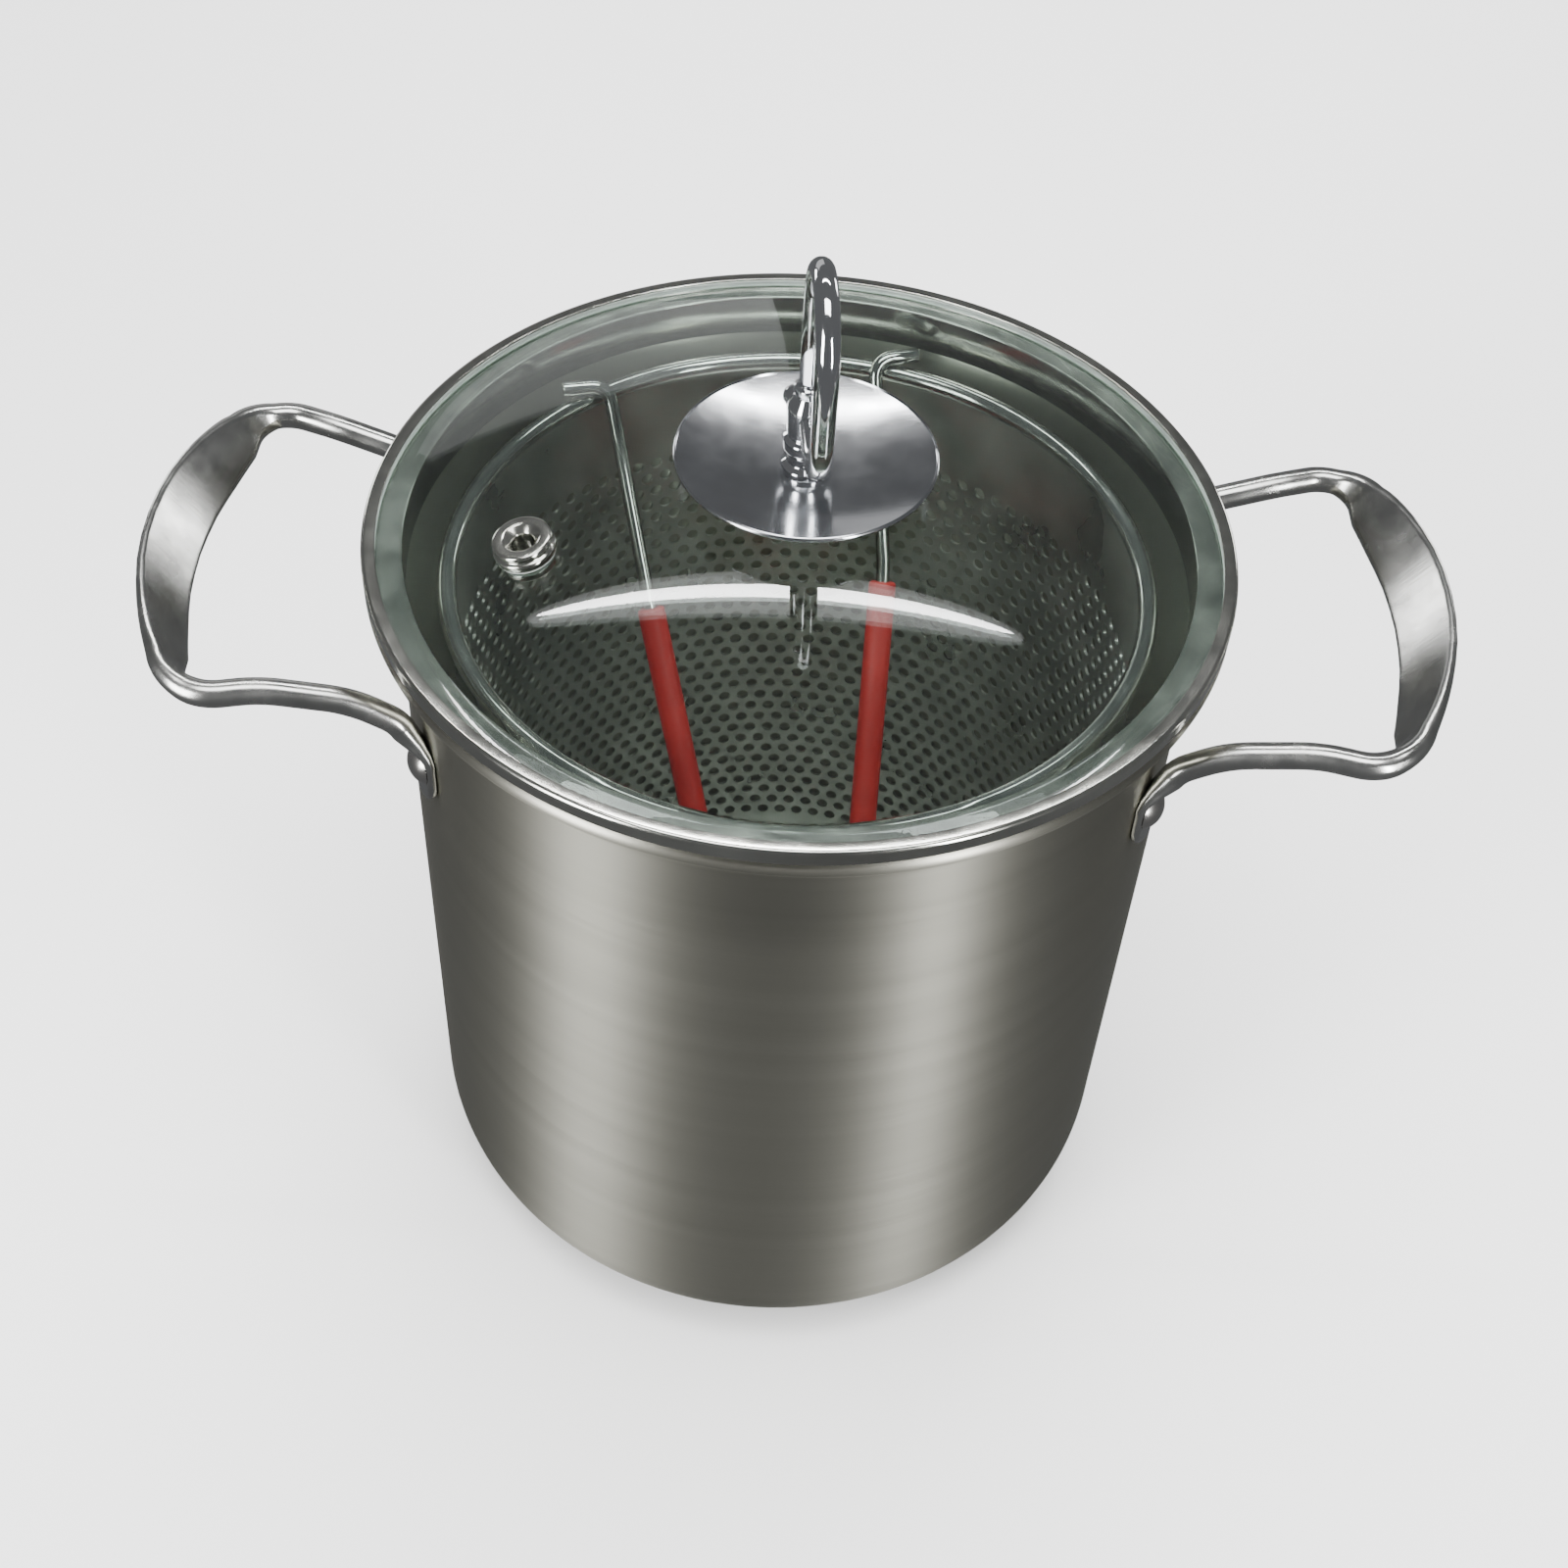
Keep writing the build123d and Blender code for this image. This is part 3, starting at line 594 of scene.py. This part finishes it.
def cut_sheet(points, holes, sides, place):
    """Two-skinned sheet with round holes.

    points are (x, y), holes are (x, y, radius), and place(x, y, skin) puts a point on skin 0 or 1.
    """
    flat = [Vector(p) for p in points if all(hypot(p[0] - x, p[1] - y) > 1.1 * r for x, y, r in holes)]
    loops = []
    for x, y, r in holes:
        loops.append(list(range(len(flat), len(flat) + sides)))
        flat += [Vector(p) for p in circle(r, sides, (x, y))]
    edges = [edge for loop in loops for edge in zip(loop, loop[1:] + loop[:1])]
    spots, _, triangles, sources, *_ = delaunay_2d_cdt(flat, edges, [], 0, 1e-5)
    where = {old: new for new, group in enumerate(sources) for old in group}
    centres = KDTree(len(holes))
    for number, (x, y, r) in enumerate(holes):
        centres.insert((x, y, 0), number)
    centres.balance()
    faces = []
    for triangle in triangles:
        middle = sum((spots[i] for i in triangle), Vector((0, 0))) / 3
        _, number, distance = centres.find((middle.x, middle.y, 0))
        if distance > 0.98 * holes[number][2] * cos(pi / sides):
            faces += [tuple(triangle), tuple(i + len(spots) for i in reversed(triangle))]
    for loop in loops:
        ring = [where[i] for i in loop]
        faces += band(ring, [i + len(spots) for i in ring])
    return [place(spot.x, spot.y, skin) for skin in (0, 1) for spot in spots], faces


def perforated_floor():
    """Basket floor: flat perforated sheet whose plain edge turns up inside the wall."""
    outer, top, low = FLOOR_HIGH.x, FLOOR_HIGH.z, FLOOR_LOW.z
    flat_r = outer - FLOOR_BEND
    row_height = HOLE_PITCH * sqrt(3) / 2
    rows = int(flat_r / row_height) + 1
    holes = [(column * HOLE_PITCH + (row % 2) * HOLE_PITCH / 2, row * row_height, HOLE_R)
             for row in range(-rows, rows + 1) for column in range(-rows - 2, rows + 3)]
    holes = [hole for hole in holes if hypot(hole[0], hole[1]) < flat_r - HOLE_R - FLOOR_EDGE]

    def place(x, y, skin):
        return x, y, low + SHEET * (1 - skin)

    bend = (flat_r, low + FLOOR_BEND)
    edge = arc(bend, FLOOR_BEND, -90, 0) + [(outer, top), (outer - SHEET, top)]
    edge += arc(bend, FLOOR_BEND - SHEET, 0, -90)
    sheet = cut_sheet(circle(flat_r, FLOOR_SIDES), holes, HOLE_SIDES, place)
    return joined(sheet, lathe_shape(edge, FLOOR_SIDES))


def make_basket():
    for part, shape in (("wall", perforated_wall()), ("floor", perforated_floor())):
        make_object(f"basket_perforated_{part}", shape, BASKET_STEEL, "basket", f"basket_{part}",
                    sharp=35, merge=True)
    ring = arc((RIM_MAJOR, RIM_Z), RIM_MINOR, 0, 345, 23)
    make_object("basket_rim_wire", lathe_shape(ring), BRIGHT, "basket", "basket_rim",
                sharp=60)


# ---- wire handle -------------------------------------------------------------------------------
WIRE_R, SLEEVE_R, SLEEVE_GAP = 1.95, 3.9, 0.05
ARM_HALF, WAIST_HALF, END_HALF = 50.0, 34.2, 8.5
HOOK_SHIFT, WAIST_SHIFT, END_SHIFT = 1.0, 2.8, -1.5
WAIST_S, END_S, SLEEVE_S = 58.0, 249.5, 62.0
ARM_DEPTH, ARM_Z, END_Z = 77.2, 218.6, 10.0
ARM_BEND, WAIST_BEND, END_BEND = 5.0, 60.0, 7.6
LEAN = asin((ARM_Z - END_Z) / END_S)
DOWN = BACK * -cos(LEAN) - UP * sin(LEAN)


def both_legs(half):
    """Points of both legs, left one first, from (half width, shift, distance down) of one leg."""
    top = BACK * ARM_DEPTH + UP * ARM_Z
    legs = [(shift - width, down) for width, shift, down in half]
    legs += [(shift + width, down) for width, shift, down in reversed(half)]
    return [top + ACROSS * across + DOWN * down for across, down in legs]


def make_wire_handle():
    end = (END_HALF, END_SHIFT, END_S)
    half = [(ARM_HALF, HOOK_SHIFT, 0), (HOOK_HALF, HOOK_SHIFT, 0), (WAIST_HALF, WAIST_SHIFT, WAIST_S), end]
    bends = [ARM_BEND, WAIST_BEND, END_BEND]
    rod = tube_shape(smooth_path(both_legs(half), bends + bends[::-1]), WIRE_R)
    make_object("basket_handle_rod", rod, BRIGHT, "basket_handle", "basket_handle_wire",
                sharp=60)
    share = (SLEEVE_S - WAIST_S) / (END_S - WAIST_S)
    start_half = WAIST_HALF + (END_HALF - WAIST_HALF) * share
    start = (start_half, WAIST_SHIFT + (END_SHIFT - WAIST_SHIFT) * share, SLEEVE_S)
    path = smooth_path(both_legs([start, end]), [END_BEND, END_BEND])
    sleeve = tube_shape(path, SLEEVE_R, bore=WIRE_R + SLEEVE_GAP, round_end=0.8)
    make_object("vinyl_sleeve", sleeve, VINYL, "basket_handle", "grip_sleeve", sharp=60)


# ---- lid ---------------------------------------------------------------------------------------
LID_SHEET, SKIRT_SHEET, SEAL = 0.6, 0.8, 0.4
LIP_R, SKIRT_OUT = 105.5, 99.4
SKIRT_IN = SKIRT_OUT - SKIRT_SHEET
BAND_LOW = 226.4                   # where the lid rests on the pot's bead
DOME_T, DOME_EDGE, GLASS_EDGE, GLASS_HOLE = 3.0, 103.0, 2.4, 4.0
GLASS_TOP = LID_TOP - LID_SHEET - SEAL
DOME_RADIUS = (DOME_EDGE ** 2 + (DOME_APEX - GLASS_TOP) ** 2) / (2 * (DOME_APEX - GLASS_TOP))
DOME_CENTRE = DOME_APEX - DOME_RADIUS
VENT_X, VENT_Y = -65.4, -26.0
VENT_BORE, VENT_BARREL, VENT_FLANGE, VENT_GROOVE = 2.75, 4.4, 7.75, 6.85
VENT_LOW, VENT_TOP = 0.62, 5.0     # over the glass, and below it:
VENT_TAIL, NUT_TOP, NUT_H, NUT_R = 2.4, 0.1, 2.0, 6.5


def dome_z(r, depth=0.0):
    """Height of the dome at a radius, or of a surface that lies deeper in the glass."""
    return DOME_CENTRE + sqrt((DOME_RADIUS - depth) ** 2 - r * r)


def dome_line(start, end, depth, steps=40):
    radii = [start + (end - start) * k / steps for k in range(steps + 1)]
    return [(r, dome_z(r, depth)) for r in radii]


def make_lid():
    under_lip, over_band = LID_TOP - LID_SHEET, BAND_LOW + LID_SHEET
    band_in = LID_R - LID_SHEET
    ring = rounded([(LIP_R, under_lip, 0.25), (band_in, under_lip, 0.3), (band_in, over_band, 0.3),
                    (SKIRT_IN, over_band, 0.5), (SKIRT_IN, SKIRT_Z, 0.3), (SKIRT_OUT, SKIRT_Z, 0.3),
                    (SKIRT_OUT, BAND_LOW, 0.3), (LID_R, BAND_LOW, 0.7), (LID_R, LID_TOP, 1.1),
                    (LIP_R, LID_TOP, 0.25)])
    make_object("lid_rolled_ring", lathe_shape(ring, 256), RING_STEEL, "lid", "lid_ring",
                sharp=35)
    for node in ("rim_seal", "vent_gasket", "disc_gasket", "screw_gasket"):
        dress(node, SILICONE)
    for node in ("knob_washer", "knob_screw"):
        dress(node, RIVET)
    glass_low = GLASS_TOP - GLASS_EDGE
    under_edge = sqrt((DOME_RADIUS - DOME_T) ** 2 - (glass_low - DOME_CENTRE) ** 2)
    glass = dome_line(GLASS_HOLE, DOME_EDGE, 0.0) + [(GLASS_R, GLASS_TOP), (GLASS_R, glass_low)]
    glass += dome_line(under_edge, GLASS_HOLE, DOME_T)
    make_object("glass_dome", lathe_shape(glass, 256), GLASS, "lid", "lid_glass", sharp=40)


def make_vent():
    """Turned steam vent and its nut, set square to the dome."""
    square = Vector((VENT_X, VENT_Y, dome_z(hypot(VENT_X, VENT_Y)) - DOME_CENTRE)).normalized()
    level = (Vector((1, 0, 0)) - square * square.x).normalized()
    place = facing(square * DOME_RADIUS + UP * DOME_CENTRE, level, square)
    tail = -DOME_T - VENT_TAIL
    body = rounded([(VENT_BORE, tail, 0.3), (VENT_BARREL, tail, 0.3), (VENT_BARREL, VENT_LOW, 0),
                    (VENT_FLANGE, VENT_LOW, 0.3), (VENT_FLANGE, VENT_LOW + 1.7, 0.7),
                    (VENT_GROOVE, VENT_LOW + 2.2, 0.3), (VENT_GROOVE, VENT_LOW + 2.9, 0.3),
                    (VENT_FLANGE - 0.3, VENT_LOW + 3.3, 0.3), (VENT_FLANGE - 0.5, VENT_TOP, 0.8),
                    (VENT_BORE + 1.9, VENT_TOP, 0.9), (VENT_BORE, VENT_TOP - 1.6, 0.8)])
    make_object("vent_turned", lathe_shape(body, 64, place), RING_STEEL, "lid", "vent_grommet")
    high, bore = -DOME_T - NUT_TOP, VENT_BARREL + 0.02
    nut = rounded([(bore, high - NUT_H, 0), (NUT_R, high - NUT_H, 0.5), (NUT_R, high, 0.2), (bore, high, 0)])
    make_object("vent_ring_nut", lathe_shape(nut, 64, place), BRIGHT, "lid", "vent_nut")


# ---- knob --------------------------------------------------------------------------------------
SAUCER_Z, SAUCER_T, SAUCER_BEAD, SAUCER_HOLE = 248.7, 1.0, 0.75, 3.95
STEM_R, STEM_NECK, STEM_TENON = 5.3, 4.8, 3.9
LOOP_ROD_R, LOOP_BEND, LOOP_HIGH, LOOP_LOW, LOOP_TURN = 2.85, 15.0, 312.6, 264.5, radians(6.5 - 90)
LOOP_KINK, LOOP_END, KINK_BEND = (0.3, -2.5, 265.2), (-4.5, 6.9, 266.3), 5.0
LOOP_SLACK = 0.02                  # keeps a sliver of straight rod between two bends


def make_saucer():
    """Shallow saucer with a beaded rim."""
    rise = DISC_HIGH.z - 0.2 - SAUCER_Z
    ball = (DISC_HIGH.x ** 2 + rise ** 2) / (2 * rise)
    inset = DISC_HIGH.x - SAUCER_BEAD
    radii = [SAUCER_HOLE + (inset - SAUCER_HOLE) * k / 24 for k in range(25)]
    top = [(r, SAUCER_Z + ball - sqrt(ball ** 2 - r * r)) for r in radii]
    rim = arc((inset, top[-1][1] - 0.2), SAUCER_BEAD, 75, -75, 8)
    under = [(r, SAUCER_Z + ball - sqrt((ball + SAUCER_T) ** 2 - r * r)) for r in reversed(radii)]
    saucer = lathe_shape(top + rim + under, 160)
    make_object("knob_saucer", saucer, DISC_CHROME, "lid", "knob_disc")


def make_stem():
    """Turned stem: foot, neck, collar, shank and the small bead round the loop's rod."""
    low, top, seat = STEM_LOW.z, STEM_HIGH.z, SAUCER_Z + 0.2
    stem = rounded([
        (0, low, 0), (STEM_TENON, low, 0.2), (STEM_TENON, seat, 0),
        (STEM_R + 0.9, seat, 0.2), (STEM_R + 0.9, 250.6, 0.8),
        (STEM_NECK, 251.8, 0.6), (STEM_NECK, 254.3, 0.7),
        (STEM_R + 0.7, 255.8, 0.9), (STEM_R + 0.7, 258.4, 0.9), (STEM_NECK, 259.4, 0.4),
        (STEM_R, 260.4, 0.5), (STEM_R, 267.6, 2.4), (3.4, 271.2, 0.7),
        (3.9, 272.0, 0.4), (3.9, 273.4, 0.4), (3.1, top, 0.2), (0, top, 0)])
    make_object("knob_turned_stem", lathe_shape(stem, 64), CHROME, "lid", "knob_stem")


def make_loop():
    """Rod that rises from the stem, turns down in front of it and ends beside it."""
    reach = 2 * LOOP_BEND
    far_x, far_y = reach * cos(LOOP_TURN), reach * sin(LOOP_TURN)
    points = [(0, 0, STEM_HIGH.z - 2.0), (0, 0, LOOP_HIGH), (far_x, far_y, LOOP_HIGH),
              (far_x, far_y, LOOP_LOW), LOOP_KINK, LOOP_END]
    path = smooth_path(points, [LOOP_BEND - LOOP_SLACK] * 3 + [KINK_BEND])
    rod = tube_shape(path, LOOP_ROD_R, round_end=1.2)
    make_object("knob_rod_loop", rod, CHROME, "lid", "knob_loop", sharp=60)


# ---- stage, light and camera -------------------------------------------------------------------
def make_stage():
    """Pale floor. Polished steel doesn't mirror it, so its own shine stays that of the lamps."""
    mesh = bpy.data.meshes.new("floor")
    half = 6.0
    corners = [(-half, -half, 0), (half, -half, 0), (half, half, 0), (-half, half, 0)]
    mesh.from_pydata(corners, [], [(0, 1, 2, 3)])
    floor = bpy.data.objects.new("floor", mesh)
    bpy.context.scene.collection.objects.link(floor)
    mesh.materials.append(white_floor("floor_white"))
    floor.visible_glossy = False


def area_light(name, place, aim, size, power, mirrored=True, shape="RECTANGLE"):
    """Soft lamp in metres and watts. One that isn't mirrored lights matt surfaces only."""
    data = bpy.data.lights.new(name, "AREA")
    data.shape = shape
    data.size, data.size_y = size
    data.energy = power
    lamp = bpy.data.objects.new(name, data)
    lamp.location = place
    lamp.rotation_euler = (Vector(aim) - Vector(place)).to_track_quat("-Z", "Y").to_euler()
    lamp.visible_glossy = lamp.visible_transmission = mirrored
    bpy.context.scene.collection.objects.link(lamp)


def make_light():
    world = bpy.data.worlds.new("studio")
    world.use_nodes = True
    background = world.node_tree.nodes["Background"]
    background.inputs["Color"].default_value = (0.95, 0.97, 1.0, 1)
    background.inputs["Strength"].default_value = 0.14
    bpy.context.scene.world = world
    area_light("strip_over", (-0.05, 0.63, 1.25), (-0.05, 0.0, 0.2), (1.06, 0.04), 6.5, shape="ELLIPSE")
    area_light("strip_glow", (-0.05, 0.63, 1.26), (-0.05, 0.0, 0.2), (1.12, 0.13), 0.8, shape="ELLIPSE")
    area_light("soft_top", (0.0, -0.22, 1.5), (0, 0, 0.12), (1.0, 0.5), 14)
    area_light("soft_left", (-0.93, -0.91, 0.52), (0, 0, 0.12), (0.42, 0.95), 26)
    area_light("soft_right", (0.80, -1.02, 0.52), (0, 0, 0.12), (0.20, 0.95), 20)
    area_light("soft_rear", (-0.58, 1.9, 0.62), (0, 0, 0.22), (1.05, 0.7), 1.2)
    area_light("low_rear_left", (-1.2, 1.4, 0.36), (0.16, 0, 0.21), (0.35, 0.4), 3.5)
    area_light("low_rear_right", (1.2, 1.4, 0.36), (-0.16, 0, 0.21), (0.35, 0.4), 3.5)
    area_light("soft_back", (0.3, 1.5, 1.2), (0, 0, 0.15), (1.4, 0.8), 30, mirrored=False)
    area_light("floor_fill", (0.0, -0.2, 2.4), (0, 0, 0), (2.6, 2.6), 124, mirrored=False)


def make_camera():
    place = Vector((-0.43, -417.35, 586.83)) * MM
    aim = Vector((-0.43, 5.06, 129.09)) * MM
    roll = radians(3.568)
    forward = (aim - place).normalized()
    right = forward.cross(UP).normalized()
    up = right.cross(forward)
    across = right * cos(roll) + up * sin(roll)
    upward = up * cos(roll) - right * sin(roll)
    data = bpy.data.cameras.new("camera")
    data.sensor_width = 36.0
    data.lens = 50.04
    data.clip_start = 0.01
    camera = bpy.data.objects.new("camera", data)
    turn = Matrix((across, upward, -forward)).transposed()
    camera.matrix_world = Matrix.Translation(place) @ turn.to_4x4()
    bpy.context.scene.collection.objects.link(camera)
    bpy.context.scene.camera = camera


make_camera()
make_stage()
make_light()
make_pot()
make_handles()
make_basket()
make_wire_handle()
make_lid()
make_vent()
make_saucer()
make_stem()
make_loop()
